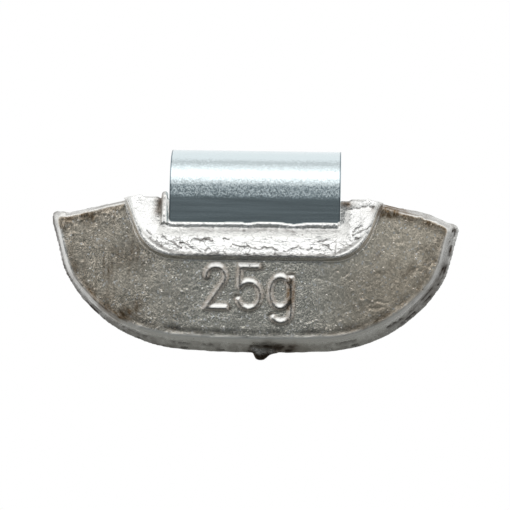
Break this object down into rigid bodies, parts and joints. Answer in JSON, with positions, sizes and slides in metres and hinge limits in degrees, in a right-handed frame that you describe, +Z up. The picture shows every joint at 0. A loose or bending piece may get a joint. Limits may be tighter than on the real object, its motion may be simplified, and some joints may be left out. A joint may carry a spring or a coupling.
{
  "type": "wheel balance weight",
  "caption": "Clip-on wheel balance weight: crescent lead-alloy casting with a dished pad that holds a bent spring-steel clip, which grips the lip of a steel wheel rim.",
  "frame": {"origin": "axis of the clip's bend, at the middle of the clip's width", "axes": "+X along the length of the weight and along the rim lip, +Z up from the casting to the bend of the clip, -Y towards the outer side that shows on the wheel"},
  "size_m": [0.0475, 0.0113, 0.0245],
  "materials": {
    "cast_lead_alloy": "as cast, dull grey with a brighter pad and brown oxide at the edges",
    "zinc_plated_steel": "bright zinc plating with fine rolling lines"
  },
  "bodies": {
    "root": {"cast_weight": "cast_lead_alloy", "spring_clip": "zinc_plated_steel"}
  },
  "joints": []
}
